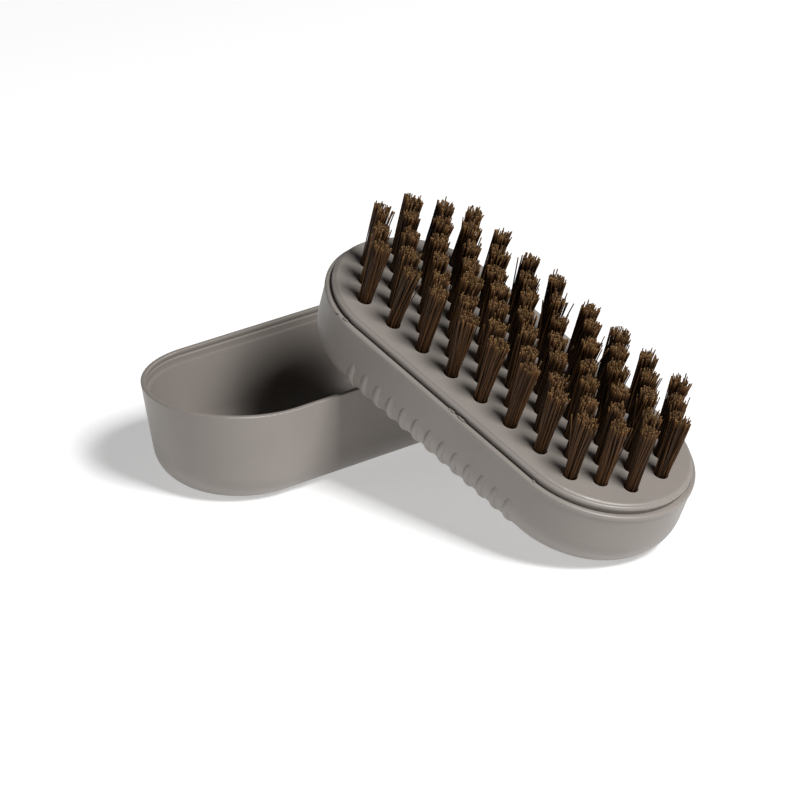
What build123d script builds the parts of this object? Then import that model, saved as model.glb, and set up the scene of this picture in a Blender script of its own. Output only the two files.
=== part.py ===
from build123d import *
from math import cos, radians, sin
import os

# Pocket bristle brush with a press-on cover, in millimetres, +Z up.
# The cover stands open side up with its flat base on Z = 0, centred on the origin and
# its long axis along X. The brush leans on the cover's front rim, bristles up, with the
# rounded bottom edge of its lower end on the floor.

# Outline shared by the cover's rim and the brush's rim.
LENGTH = 100.0
WIDTH = 44.0

# Cover.
COVER_HEIGHT = 23.0
COVER_DRAFT = 0.16            # inward slope of the wall, mm per mm
COVER_EDGE_RADIUS = 8.5
COVER_FLOOR = 2.0
COVER_LIP = 1.2               # wall thickness at the rim
LIP_EDGE_RADIUS = 0.3
REBATE_DEPTH = 2.9            # from the rim down to the stop ledge
LEDGE_WIDTH = 1.0
CATCH_GROOVE_RADIUS = 0.6
CATCH_GROOVE_SINK = 0.45      # groove centre, inwards from the rebate's wall

# Grip shell, in the brush's own frame: its rim plane is Z = 0 and the shell is below it.
SHELL_DEPTH = 17.45
SHELL_DRAFT = 0.04
SHELL_EDGE_RADIUS = 9.0
SHELL_WALL = 2.2
RIM_BAND_HEIGHT = 1.2
RIM_BAND_PROUD = 0.12
RIM_BAND_TOP_RADIUS = 0.6
RIM_BAND_FOOT_RADIUS = 0.2
SEAT_INSET = 1.05             # from the outline to the pocket that holds the plate
SEAT_DEPTH = 3.2

# Grip ribs on the lower half of both long sides.
RIB_COUNT = 13
RIB_PITCH = 4.15
RIB_RADIUS = 1.25
RIB_PROUD = 0.42
RIB_TOP = -7.8                # height where a rib starts, in the shell's frame
RIB_SLANT = 0.17              # shift along the shell, mm per mm of height
RIB_BURY = 0.05               # how far the ends of a rib lie under the shell's surface
RIB_FULL_ANGLES = (12, 40, 68)  # on the bottom edge's arc, where a rib stands at its full height
RIB_RUN_UNDER = 1.5           # how far a rib runs in under the flat bottom

# Bristle plate, welded into the shell.
SPIGOT_INSET = 1.5
SPIGOT_HEIGHT = 2.2
SPIGOT_TOP_RADIUS = 0.85
FLANGE_INSET = 1.1
FLANGE_TOP = -0.2
BEAD_RADIUS = 0.6
BEAD_HEIGHT = 1.15            # above the rim plane
BEAD_SINK = 0.25              # bead centre, inwards from the spigot's side

# Bristle tufts: rows run along the brush, and each row is shifted by half a pitch.
TUFT_PITCH = 9.32
ROW_SPACING = 4.8
ROW_TUFTS = [(1, 8), (1, 9), (1, 10), (2, 10), (2, 11), (3, 11), (4, 11)]
COLUMN_COUNT = 11
ROW_CENTRE = 3
COLUMN_CENTRE = 4.5
HOLE_RADIUS = 1.6
HOLE_DEPTH = 4.6
HOLE_CHAMFER = 0.1
TUFT_ROOT_RADIUS = 1.5
TUFT_TIP_RADIUS = 2.3
TUFT_LENGTH = 15.2            # free length above the plate's face
TUFT_TIP_ROUND = 0.5

# Metal anchor that each folded tuft is driven in with.
ANCHOR_WIDTH = 3.6
ANCHOR_THICKNESS = 0.35
ANCHOR_HEIGHT = 1.7
ANCHOR_FLOOR = 0.3            # tuft material under the anchor

# Resting place of the brush: its rim-plane centre, and the turns that tip it.
BRUSH_CENTRE = (6.49, -51.27, 31.05)
TIP_SIDEWAYS = 1.8
LEAN = 20.27
TURN = -84.0

BRUSH_PLACE = Pos(*BRUSH_CENTRE) * Rot(0, TIP_SIDEWAYS, 0) * Rot(LEAN, 0, 0) * Rot(0, 0, TURN)


def pill(z, inset):
    """Pill-shaped face at height z, inset from the shared outline."""
    return Pos(0, 0, z) * SlotOverall(LENGTH - 2 * inset, WIDTH - 2 * inset)


def pill_block(z_low, z_high, inset):
    """Straight-sided pill-shaped block."""
    return extrude(pill(z_low, inset), amount=z_high - z_low)


def drafted_block(z_low, inset_low, z_high, inset_high):
    """Pill-shaped block whose side slopes from one inset to the other."""
    return loft([pill(z_low, inset_low), pill(z_high, inset_high)], ruled=True)


def round_bottom(block, radius):
    """Round the edge all round the lowest face."""
    return fillet(block.edges().group_by(Axis.Z)[0], radius)


def ring(z, inset, radius):
    """Round bar bent to a pill-shaped ring."""
    path = pill(z, inset).face().outer_wire()
    start = path @ 0
    section = Plane(origin=start, z_dir=path % 0) * Circle(radius)
    return sweep(section, path=path, transition=Transition.RIGHT)


def make_cover():
    foot_inset = COVER_DRAFT * COVER_HEIGHT
    body = drafted_block(0, foot_inset, COVER_HEIGHT, 0)
    body = round_bottom(body, COVER_EDGE_RADIUS)

    ledge_z = COVER_HEIGHT - REBATE_DEPTH
    ledge_inset = COVER_LIP + LEDGE_WIDTH
    floor_inset = ledge_inset + COVER_DRAFT * (ledge_z - COVER_FLOOR)
    cavity = drafted_block(COVER_FLOOR, floor_inset, ledge_z, ledge_inset)
    cavity = round_bottom(cavity, COVER_EDGE_RADIUS - COVER_FLOOR)

    rebate = pill_block(ledge_z, COVER_HEIGHT, COVER_LIP)
    groove_z = COVER_HEIGHT - BEAD_HEIGHT
    groove = ring(groove_z, COVER_LIP + CATCH_GROOVE_SINK, CATCH_GROOVE_RADIUS)

    body = body - cavity - rebate
    rim_edges = body.edges().group_by(Axis.Z)[-1]
    body = fillet(rim_edges, LIP_EDGE_RADIUS)
    return body - groove


def rib_path(side):
    """Centre line of one rib: it grows out of the wall and fades under the bottom edge."""
    buried = RIB_RADIUS + RIB_BURY
    wall_y = WIDTH / 2 - RIM_BAND_PROUD
    arc_z = -SHELL_DEPTH + SHELL_EDGE_RADIUS
    arc_y = wall_y + SHELL_DRAFT * arc_z - SHELL_EDGE_RADIUS
    arc_radius = SHELL_EDGE_RADIUS - RIB_RADIUS + RIB_PROUD

    top = (wall_y + SHELL_DRAFT * RIB_TOP - buried, RIB_TOP)
    full = [
        (arc_y + arc_radius * cos(radians(angle)), arc_z - arc_radius * sin(radians(angle)))
        for angle in RIB_FULL_ANGLES
    ]
    end = (arc_y - RIB_RUN_UNDER, -SHELL_DEPTH + buried)
    return Spline([(RIB_SLANT * (z - RIB_TOP), side * y, z) for y, z in (top, *full, end)])


def make_rib(side):
    path = rib_path(side)
    section = Plane(origin=path @ 0, z_dir=path % 0) * Circle(RIB_RADIUS)
    return sweep(section, path=path)


def make_grip_shell():
    foot_inset = RIM_BAND_PROUD + SHELL_DRAFT * SHELL_DEPTH
    body = drafted_block(-SHELL_DEPTH, foot_inset, 0, RIM_BAND_PROUD)
    body = round_bottom(body, SHELL_EDGE_RADIUS)

    band = pill_block(-RIM_BAND_HEIGHT, 0, 0)
    band = fillet(band.edges().group_by(Axis.Z)[-1], RIM_BAND_TOP_RADIUS)
    band = round_bottom(band, RIM_BAND_FOOT_RADIUS)
    body = body & pill_block(-SHELL_DEPTH, -RIM_BAND_HEIGHT / 2, 0)
    body = body + band

    ribs = [
        Pos((index - (RIB_COUNT - 1) / 2) * RIB_PITCH, 0, 0) * make_rib(side)
        for side in (-1, 1)
        for index in range(RIB_COUNT)
    ]
    body = body + ribs

    hollow_floor = -SHELL_DEPTH + SHELL_WALL
    hollow_low = SHELL_WALL + SHELL_DRAFT * -hollow_floor
    hollow_high = SHELL_WALL + SHELL_DRAFT * SEAT_DEPTH
    hollow = drafted_block(hollow_floor, hollow_low, -SEAT_DEPTH, hollow_high)
    hollow = round_bottom(hollow, SHELL_EDGE_RADIUS - SHELL_WALL)
    seat = pill_block(-SEAT_DEPTH, 0, SEAT_INSET)
    return body - hollow - seat


def tuft_positions(column):
    """Hole centres of one slanted column, from the near row to the far row."""
    positions = []
    for row, (first, last) in enumerate(ROW_TUFTS):
        if first <= column <= last:
            x = (column - 0.5 * row - COLUMN_CENTRE) * TUFT_PITCH
            y = (row - ROW_CENTRE) * ROW_SPACING
            positions.append((x, y))
    return positions


def make_hole():
    """Blind tuft hole with a chamfered mouth, its mouth on the plate's face."""
    shaft = Cylinder(HOLE_RADIUS, HOLE_DEPTH, align=(Align.CENTER, Align.CENTER, Align.MAX))
    mouth = Cone(HOLE_RADIUS, HOLE_RADIUS + HOLE_CHAMFER, HOLE_CHAMFER,
                 align=(Align.CENTER, Align.CENTER, Align.MAX))
    return shaft + mouth


def make_anchor():
    """Flat wire anchor, standing on edge near the bottom of a tuft hole."""
    block = Box(ANCHOR_WIDTH, ANCHOR_THICKNESS, ANCHOR_HEIGHT,
                align=(Align.CENTER, Align.CENTER, Align.MIN))
    return Pos(0, 0, -HOLE_DEPTH + ANCHOR_FLOOR) * block


def make_tuft():
    """Folded bundle of bristles: straight in its hole, splayed above the face."""
    root = Cylinder(TUFT_ROOT_RADIUS, HOLE_DEPTH, align=(Align.CENTER, Align.CENTER, Align.MAX))
    shaft = Cone(TUFT_ROOT_RADIUS, TUFT_TIP_RADIUS, TUFT_LENGTH,
                 align=(Align.CENTER, Align.CENTER, Align.MIN))
    shaft = fillet(shaft.edges().group_by(Axis.Z)[-1], TUFT_TIP_ROUND)
    return root + shaft - make_anchor()


def make_bristle_plate():
    flange = pill_block(-SEAT_DEPTH, FLANGE_TOP, FLANGE_INSET)
    spigot = pill_block(-SEAT_DEPTH, SPIGOT_HEIGHT, SPIGOT_INSET)
    spigot = fillet(spigot.edges().group_by(Axis.Z)[-1], SPIGOT_TOP_RADIUS)
    bead = ring(BEAD_HEIGHT, SPIGOT_INSET + BEAD_SINK, BEAD_RADIUS)
    plate = spigot + flange + bead

    cutter = Pos(0, 0, SPIGOT_HEIGHT) * (make_hole() + make_anchor())
    holes = [
        Pos(x, y, 0) * cutter
        for column in range(1, COLUMN_COUNT + 1)
        for x, y in tuft_positions(column)
    ]
    return plate - holes


def column_of(shape, column):
    """Copies of one shape, one in each hole of a column, as separate solids."""
    face = Pos(0, 0, SPIGOT_HEIGHT)
    return [Pos(x, y, 0) * face * shape for x, y in tuft_positions(column)]


def save(node, shapes, place=Location()):
    """Write one node's solids, moved to their place, to its own STEP file."""
    solids = []
    for shape in shapes:
        solids.extend((place * shape).solids())
    export_step(Compound(children=solids), os.path.join("parts", node + ".step"))


os.makedirs("parts", exist_ok=True)

save("cover", [make_cover()])
save("grip_shell", [make_grip_shell()], BRUSH_PLACE)
save("bristle_plate", [make_bristle_plate()], BRUSH_PLACE)

tuft = make_tuft()
anchor = make_anchor()
for column in range(1, COLUMN_COUNT + 1):
    save(f"tufts_{column:02d}", column_of(tuft, column), BRUSH_PLACE)
    save(f"anchors_{column:02d}", column_of(anchor, column), BRUSH_PLACE)
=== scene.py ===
import math

import bmesh
import bpy
import numpy as np
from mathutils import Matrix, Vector


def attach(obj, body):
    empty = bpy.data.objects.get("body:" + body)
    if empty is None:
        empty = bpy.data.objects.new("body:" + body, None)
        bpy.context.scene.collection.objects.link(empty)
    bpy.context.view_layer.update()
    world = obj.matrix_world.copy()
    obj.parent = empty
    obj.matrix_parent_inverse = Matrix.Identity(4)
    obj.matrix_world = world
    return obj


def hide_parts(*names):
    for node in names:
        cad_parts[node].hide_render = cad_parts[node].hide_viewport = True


# A pill-shaped bristle brush leaning on its open cover. The plastic mouldings are the CAD
# nodes with new materials. Every tuft is rebuilt here from single bristles. Metres.

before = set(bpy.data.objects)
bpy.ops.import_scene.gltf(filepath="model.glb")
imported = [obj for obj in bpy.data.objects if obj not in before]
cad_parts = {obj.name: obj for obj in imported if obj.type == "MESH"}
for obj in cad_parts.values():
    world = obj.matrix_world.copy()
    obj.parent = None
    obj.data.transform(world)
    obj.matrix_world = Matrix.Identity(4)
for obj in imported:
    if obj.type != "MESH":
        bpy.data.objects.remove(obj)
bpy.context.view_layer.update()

MM = 0.001

# Camera, at the photograph's viewing angle. Angles in degrees, azimuth 0 looks along +Y.
CAMERA_AZIMUTH = -39.9
CAMERA_ELEVATION = 23.4
CAMERA_DISTANCE = 1.0
CAMERA_LENS = 196.7
SENSOR_WIDTH = 36.0
CAMERA_AIM = Vector((21.9, 5.8, 3.0)) * MM

# Lights.
AMBIENT = 0.04
FLOOR_GLOW = 0.43
FLOOR_HALF = 4.0

# Reading the CAD meshes.
FACING_UP = 0.5               # least upward part of the normal of the plate's face
SQUARE = 0.01                 # largest cosine between two directions that count as square
WELD_DISTANCE = 0.002 * MM
LEVEL_TOLERANCE = 0.01 * MM

# The brush's own dimensions, the same as in the CAD.
SPIGOT_HEIGHT = 2.2 * MM      # from the rim plane up to the plate's face
HOLE_DEPTH = 4.6 * MM
ANCHOR_TOP = 2.1 * MM         # above the bottom of the hole: bristles start over the anchor
TUFT_REACH = 0.1 * MM         # mean extra height of a bundle over its CAD tuft

# One bristle.
BRISTLE_RADIUS = 0.15 * MM
BRISTLE_RADIUS_RANGE = (0.85, 1.12)
BRISTLE_SIDES = 6
BRISTLE_RINGS = (0.0, 0.25, 0.5, 0.72, 0.9, 1.0)
BRISTLE_BOW = 0.1 * MM
EVEN_LENGTH = 0.22 * MM       # spread of the trimmed lengths
ODD_LENGTH = 0.75 * MM
ODD_SHARE = 0.25

# One bundle of bristles. Angles in radians.
SEED = 7
BRISTLES_PER_TUFT = 80
BUNDLE_RADIUS = 1.47 * MM
BUNDLE_LEAN = 0.3 * MM
BUNDLE_TWIST = 0.45
BUNDLE_HEIGHT_SPREAD = 0.3 * MM
FAN_ALONG = (1.3, 1.85)       # how many times wider the tip is than the root
FAN_ACROSS = (1.1, 1.5)
FAN_POWER = 1.25
GOLDEN_ANGLE = math.pi * (3 - math.sqrt(5))
FOOT_SPREAD = 0.12
SWING_SPREAD = 0.15
HEAD_SPREAD = 0.16 * MM
CROSSING_SHARE = 0.12         # bristles that run slantwise over the bundle
CROSSING_SWING = 1.8
STRAY_SHARE = 0.025
STRAY_SPREAD = 0.9 * MM

# Weld flash on the brush's near seam: where each bit starts and ends along the brush, in mm.
FLASH_SPANS = ((-34.6, -33.1), (-31.9, -30.2), (2.2, 4.1), (4.9, 7.6), (28.4, 29.3))
FLASH_SIDES = 6
FLASH_STEP = 0.16 * MM
FLASH_LEAST_STEPS = 4
FLASH_RADIUS = 0.24 * MM
FLASH_RADIUS_RANGE = (0.45, 1.25)
FLASH_BLUNTNESS = 0.08        # share of a half sine wave cut off at each end of the taper
FLASH_ACROSS = -21.15 * MM
FLASH_ACROSS_SPREAD = 0.06 * MM
FLASH_LIFT_RANGE = (0.08 * MM, 0.24 * MM)

# Colours, linear.
TAUPE_DARK = (0.205, 0.183, 0.165)
TAUPE_LIGHT = (0.222, 0.198, 0.178)
BRISTLE_DARK = (0.017, 0.0076, 0.0029)
BRISTLE_LIGHT = (0.096, 0.044, 0.0155)
BRISTLE_WORN = (0.11, 0.058, 0.022)
CUT_DARK = (0.025, 0.013, 0.005)
CUT_LIGHT = (0.22, 0.138, 0.060)
STEEL_DARK = (0.42, 0.42, 0.41)
STEEL_LIGHT = (0.60, 0.60, 0.59)
FLOOR_DARK = (0.65, 0.65, 0.65)
FLOOR_LIGHT = (0.67, 0.67, 0.67)
WHITE = (1.0, 1.0, 1.0, 1.0)

# Ranges of noise that are stretched over a whole blend.
MIDDLE = (0.3, 0.7)
WIDE_MIDDLE = (0.25, 0.75)


def brush_axes():
    """Unit vectors of the brush: along its length, across it, and out of its face."""
    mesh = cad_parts["bristle_plate"].data
    faces = sorted(mesh.polygons, key=lambda face: face.area)
    upward = [face for face in faces if face.normal.z > FACING_UP]
    out = upward[-1].normal.normalized()
    sides = [face for face in faces if abs(face.normal.dot(out)) < SQUARE]
    across = sides[-1].normal.normalized()
    if across.x < 0:
        across = -across
    along = across.cross(out).normalized()
    return along, across, out


def brush_centre(axes):
    """Middle of the brush in its rim plane, from the box of the plate in the brush's axes."""
    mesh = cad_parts["bristle_plate"].data
    points = np.array([vert.co for vert in mesh.vertices])
    centre = Vector()
    for axis in axes[:2]:
        reach = points @ np.array(axis)
        centre += axis * (reach.min() + reach.max()) / 2
    face_level = (points @ np.array(axes[2])).max()
    return centre + axes[2] * (face_level - SPIGOT_HEIGHT)


def flood(start):
    """All vertices joined to one by edges."""
    found = {start}
    edge = [start]
    while edge:
        vert = edge.pop()
        for link in vert.link_edges:
            other = link.other_vert(vert)
            if other not in found:
                found.add(other)
                edge.append(other)
    return found


def tuft_lines(node, out):
    """Root and tip of every tuft solid in a CAD node, along the face's normal."""
    work = bmesh.new()
    work.from_mesh(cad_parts[node].data)
    bmesh.ops.remove_doubles(work, verts=work.verts, dist=WELD_DISTANCE)
    waiting = set(work.verts)
    lines = []
    while waiting:
        island = flood(next(iter(waiting)))
        waiting -= island
        heights = [vert.co.dot(out) for vert in island]
        low, high = min(heights), max(heights)
        ring = [vert.co for vert in island if vert.co.dot(out) > high - LEVEL_TOLERANCE]
        tip = sum(ring, Vector()) / len(ring)
        lines.append((tip - out * (high - low), tip))
    work.free()
    return sorted(lines, key=lambda line: (line[0].y, line[0].x))


def mesh_object(name, verts, faces):
    """New object in the scene from vertices and faces."""
    mesh = bpy.data.meshes.new(name)
    mesh.from_pydata(verts, [], faces)
    mesh.update()
    piece = bpy.data.objects.new(name, mesh)
    bpy.context.scene.collection.objects.link(piece)
    return piece


def tube(line, side_axes, radii, sides):
    """Closed tube along a centre line, with a radius at each point: its vertices and faces."""
    first, second = (np.array(axis) for axis in side_axes)
    verts = []
    for centre, radius in zip(line, radii):
        for side in range(sides):
            turn = 2 * math.pi * side / sides
            spoke = first * math.cos(turn) + second * math.sin(turn)
            verts.append(np.array(centre) + radius * spoke)
    faces = []
    for low in range(0, (len(line) - 1) * sides, sides):
        for side in range(sides):
            near = (side + 1) % sides
            faces.append((low + side, low + near, low + near + sides, low + side + sides))
    last = (len(line) - 1) * sides
    faces.append(tuple(reversed(range(sides))))
    faces.append(tuple(range(last, last + sides)))
    return verts, faces


def bristle_centres(root, tip, axes, random):
    """Centre lines of one tuft's bristles: straight in the hole, fanned and ragged above it."""
    along, across, out = (np.array(axis) for axis in axes)
    root = np.array(root)
    length = np.linalg.norm(np.array(tip) - root)
    lean = random.normal(0, BUNDLE_LEAN, 2)
    fan = np.array((random.uniform(*FAN_ALONG), random.uniform(*FAN_ACROSS)))
    twist = random.normal(0, BUNDLE_TWIST)
    height = length + random.normal(TUFT_REACH, BUNDLE_HEIGHT_SPREAD)
    lines = []
    for index in range(BRISTLES_PER_TUFT):
        radius = BUNDLE_RADIUS * math.sqrt((index + 0.5) / BRISTLES_PER_TUFT)
        turn = index * GOLDEN_ANGLE + random.normal(0, FOOT_SPREAD)
        foot = radius * np.array((math.cos(turn), math.sin(turn)))
        swing = turn + twist + random.normal(0, SWING_SPREAD)
        if random.random() < CROSSING_SHARE:
            swing += random.uniform(-CROSSING_SWING, CROSSING_SWING)
        head = radius * fan * (math.cos(swing), math.sin(swing))
        head += lean + random.normal(0, HEAD_SPREAD, 2)
        if random.random() < STRAY_SHARE:
            head += random.normal(0, STRAY_SPREAD, 2)
        bow = random.normal(0, BRISTLE_BOW, 2)
        uneven = ODD_LENGTH if random.random() < ODD_SHARE else EVEN_LENGTH
        top = height + random.normal(0, uneven)
        line = []
        for ring in BRISTLE_RINGS:
            level = ANCHOR_TOP + ring * (top - ANCHOR_TOP)
            rise = max(0.0, (level - HOLE_DEPTH) / (top - HOLE_DEPTH))
            side = foot + (head - foot) * rise ** FAN_POWER + bow * math.sin(math.pi * rise)
            line.append(root + along * side[0] + across * side[1] + out * level)
        lines.append(line)
    return lines


def make_tufts(node, name, axes, material, random):
    """One column of tufts as single bristles, each with its own shade."""
    verts, faces, shades, heights, cuts = [], [], [], [], []
    for root, tip in tuft_lines(node, axes[2]):
        for line in bristle_centres(root, tip, axes, random):
            radii = [BRISTLE_RADIUS * random.uniform(*BRISTLE_RADIUS_RANGE)] * len(line)
            ring_verts, ring_faces = tube(line, axes[:2], radii, BRISTLE_SIDES)
            start = len(verts)
            verts.extend(ring_verts)
            faces.extend(tuple(start + corner for corner in face) for face in ring_faces)
            shades.extend([random.random()] * len(ring_verts))
            heights.extend(np.repeat(BRISTLE_RINGS, BRISTLE_SIDES))
            cuts.extend([False] * (len(ring_faces) - 1) + [True])
    piece = mesh_object(name, verts, faces)
    mesh = piece.data
    mesh.attributes.new("shade", "FLOAT", "POINT").data.foreach_set("value", shades)
    mesh.attributes.new("along", "FLOAT", "POINT").data.foreach_set("value", heights)
    mesh.attributes.new("cut", "FLOAT", "FACE").data.foreach_set("value", np.array(cuts, float))
    mesh.polygons.foreach_set("use_smooth", [len(face) == 4 for face in faces])
    mesh.materials.append(material)
    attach(piece, "brush")
    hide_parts(node)


def make_flash(index, span, axes, centre, material, random):
    """One ragged bit of weld flash that stands on the seam between rim and groove."""
    along, across, out = axes
    start, end = (edge * MM for edge in span)
    count = max(FLASH_LEAST_STEPS, round((end - start) / FLASH_STEP))
    line = []
    radii = []
    for step in range(count + 1):
        part = step / count
        sideways = FLASH_ACROSS + random.normal(0, FLASH_ACROSS_SPREAD)
        lift = random.uniform(*FLASH_LIFT_RANGE)
        place = start + part * (end - start)
        line.append(centre + along * place + across * sideways + out * lift)
        taper = math.sin(math.pi * (FLASH_BLUNTNESS + (1 - 2 * FLASH_BLUNTNESS) * part))
        radii.append(FLASH_RADIUS * taper * random.uniform(*FLASH_RADIUS_RANGE))
    verts, faces = tube(line, axes[1:], radii, FLASH_SIDES)
    piece = mesh_object(f"weld_flash_{index}", verts, faces)
    piece.data.polygons.foreach_set("use_smooth", [True] * len(faces))
    piece.data.materials.append(material)
    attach(piece, "brush")


class Nodes:
    """Short way to build a material's node tree."""

    def __init__(self, name):
        self.material = bpy.data.materials.new(name)
        self.material.use_nodes = True
        self.tree = self.material.node_tree
        self.shader = self.tree.nodes["Principled BSDF"]

    def add(self, kind, **values):
        node = self.tree.nodes.new(kind)
        for key, value in values.items():
            setattr(node, key, value)
        return node

    def join(self, source, target):
        self.tree.links.new(source, target)

    def drive(self, surface, source):
        """Feed a socket into one of the shader's inputs."""
        self.join(source, self.shader.inputs[surface])

    def fix(self, surface, value):
        """Set one of the shader's inputs to a constant."""
        self.shader.inputs[surface].default_value = value

    def attribute(self, name):
        return self.add("ShaderNodeAttribute", attribute_name=name).outputs["Fac"]

    def noise(self, scale, detail=3.0, roughness=0.5):
        node = self.add("ShaderNodeTexNoise")
        node.inputs["Scale"].default_value = scale
        node.inputs["Detail"].default_value = detail
        node.inputs["Roughness"].default_value = roughness
        place = self.add("ShaderNodeTexCoord").outputs["Object"]
        self.join(place, node.inputs["Vector"])
        return node.outputs["Fac"]

    def blend(self, factor, low, high):
        """Colour between two, by a factor socket. low and high are colours or sockets."""
        node = self.add("ShaderNodeMix", data_type="RGBA")
        self.join(factor, node.inputs["Factor"])
        for value, socket in ((low, node.inputs["A"]), (high, node.inputs["B"])):
            if isinstance(value, tuple):
                socket.default_value = (*value, 1.0)
            else:
                self.join(value, socket)
        return node.outputs["Result"]

    def span(self, factor, source, target):
        """A factor socket stretched from one (low, high) range to another."""
        node = self.add("ShaderNodeMapRange")
        self.join(factor, node.inputs["Value"])
        node.inputs["From Min"].default_value = source[0]
        node.inputs["From Max"].default_value = source[1]
        node.inputs["To Min"].default_value = target[0]
        node.inputs["To Max"].default_value = target[1]
        return node.outputs["Result"]

    def bump(self, height, distance, strength):
        node = self.add("ShaderNodeBump")
        node.inputs["Distance"].default_value = distance
        node.inputs["Strength"].default_value = strength
        self.join(height, node.inputs["Height"])
        self.drive("Normal", node.outputs["Normal"])


def moulded_plastic(name, dark, light):
    """Satin plastic: faint cloudy tone, fine spark-eroded grain and patches of polish."""
    nodes = Nodes(name)
    cloud = nodes.noise(scale=55.0, detail=4.0)
    tone = nodes.span(cloud, MIDDLE, (0.0, 1.0))
    nodes.drive("Base Color", nodes.blend(tone, dark, light))
    rub = nodes.noise(scale=140.0, detail=6.0, roughness=0.65)
    nodes.drive("Roughness", nodes.span(rub, WIDE_MIDDLE, (0.36, 0.5)))
    grain = nodes.noise(scale=2600.0, detail=2.0)
    nodes.bump(grain, distance=0.02 * MM, strength=0.3)
    return nodes.material


def bristle_plastic():
    """Brown filament: each has its own shade, and its cut end is lighter."""
    nodes = Nodes("bristle_filament")
    shade = nodes.attribute("shade")
    along = nodes.attribute("along")
    cut = nodes.attribute("cut")
    body = nodes.blend(shade, BRISTLE_DARK, BRISTLE_LIGHT)
    wear = nodes.span(along, (0.93, 1.0), (0.0, 0.2))
    worn = nodes.blend(wear, body, BRISTLE_WORN)
    trimmed = nodes.blend(shade, CUT_DARK, CUT_LIGHT)
    nodes.drive("Base Color", nodes.blend(cut, worn, trimmed))
    nodes.fix("Roughness", 0.5)
    nodes.fix("Specular IOR Level", 0.15)
    grain = nodes.noise(scale=3500.0, detail=2.0)
    nodes.bump(grain, distance=0.01 * MM, strength=0.3)
    return nodes.material


def drawn_steel():
    """Bright flat wire."""
    nodes = Nodes("anchor_steel")
    nodes.fix("Metallic", 1.0)
    grain = nodes.noise(scale=900.0)
    nodes.drive("Base Color", nodes.blend(grain, STEEL_DARK, STEEL_LIGHT))
    nodes.drive("Roughness", nodes.span(grain, MIDDLE, (0.25, 0.4)))
    return nodes.material


def give(node, material):
    """Put a material on a CAD node."""
    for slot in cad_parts[node].material_slots:
        slot.material = material


def make_floor():
    """Pale light table: its own glow keeps the shadows on it light."""
    nodes = Nodes("studio_floor")
    cloud = nodes.noise(scale=3.0)
    nodes.drive("Base Color", nodes.blend(cloud, FLOOR_DARK, FLOOR_LIGHT))
    nodes.fix("Roughness", 0.9)
    nodes.fix("Specular IOR Level", 0.1)
    nodes.fix("Emission Color", WHITE)
    nodes.fix("Emission Strength", FLOOR_GLOW)
    half = FLOOR_HALF
    corners = [(-half, -half, 0), (half, -half, 0), (half, half, 0), (-half, half, 0)]
    floor = mesh_object("floor", corners, [(0, 1, 2, 3)])
    floor.data.materials.append(nodes.material)


def view_vectors():
    """The camera's forward, right and level-backwards directions."""
    azimuth = math.radians(CAMERA_AZIMUTH)
    elevation = math.radians(CAMERA_ELEVATION)
    level = Vector((-math.sin(azimuth), math.cos(azimuth), 0))
    forward = level * math.cos(elevation) - Vector((0, 0, math.sin(elevation)))
    right = forward.cross(Vector((0, 0, 1))).normalized()
    return forward, right, -level


def make_camera():
    """Long lens that looks at the aim point from the set azimuth and elevation."""
    forward, _, _ = view_vectors()
    data = bpy.data.cameras.new("camera")
    data.sensor_width = SENSOR_WIDTH
    data.lens = CAMERA_LENS
    camera = bpy.data.objects.new("camera", data)
    camera.location = CAMERA_AIM - forward * CAMERA_DISTANCE
    camera.rotation_euler = forward.to_track_quat("-Z", "Y").to_euler()
    bpy.context.scene.collection.objects.link(camera)
    bpy.context.scene.camera = camera


def soft_box(name, size, watts, rightward, nearer, higher):
    """Square soft box, placed from the camera's point of view and aimed at the object."""
    _, right, back = view_vectors()
    data = bpy.data.lights.new(name, "AREA")
    data.size = size
    data.energy = watts
    lamp = bpy.data.objects.new(name, data)
    place = right * rightward + back * nearer + Vector((0, 0, higher))
    lamp.location = CAMERA_AIM + place
    lamp.rotation_euler = (-place).to_track_quat("-Z", "Y").to_euler()
    bpy.context.scene.collection.objects.link(lamp)


def make_lights():
    """Strong key from the front right, weak fill from the left, and a faint even world."""
    soft_box("key", size=0.5, watts=36.0, rightward=0.74, nearer=0.72, higher=1.22)
    soft_box("fill", size=0.5, watts=2.0, rightward=-1.2, nearer=0.5, higher=0.35)
    world = bpy.data.worlds.new("studio")
    world.use_nodes = True
    background = world.node_tree.nodes["Background"]
    background.inputs["Color"].default_value = WHITE
    background.inputs["Strength"].default_value = AMBIENT
    bpy.context.scene.world = world
    bpy.context.scene.view_settings.view_transform = "Standard"


plastics = {}
for node in ("cover", "grip_shell", "bristle_plate"):
    plastics[node] = moulded_plastic(node + "_plastic", TAUPE_DARK, TAUPE_LIGHT)
    give(node, plastics[node])

axes = brush_axes()
filament = bristle_plastic()
steel = drawn_steel()
random = np.random.default_rng(SEED)
for node in sorted(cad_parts):
    if node.startswith("tufts_"):
        make_tufts(node, node.replace("tufts", "bristles"), axes, filament, random)
    if node.startswith("anchors_"):
        give(node, steel)

centre = brush_centre(axes)
for index, span in enumerate(FLASH_SPANS, start=1):
    make_flash(index, span, axes, centre, plastics["grip_shell"], random)

make_floor()
make_camera()
make_lights()
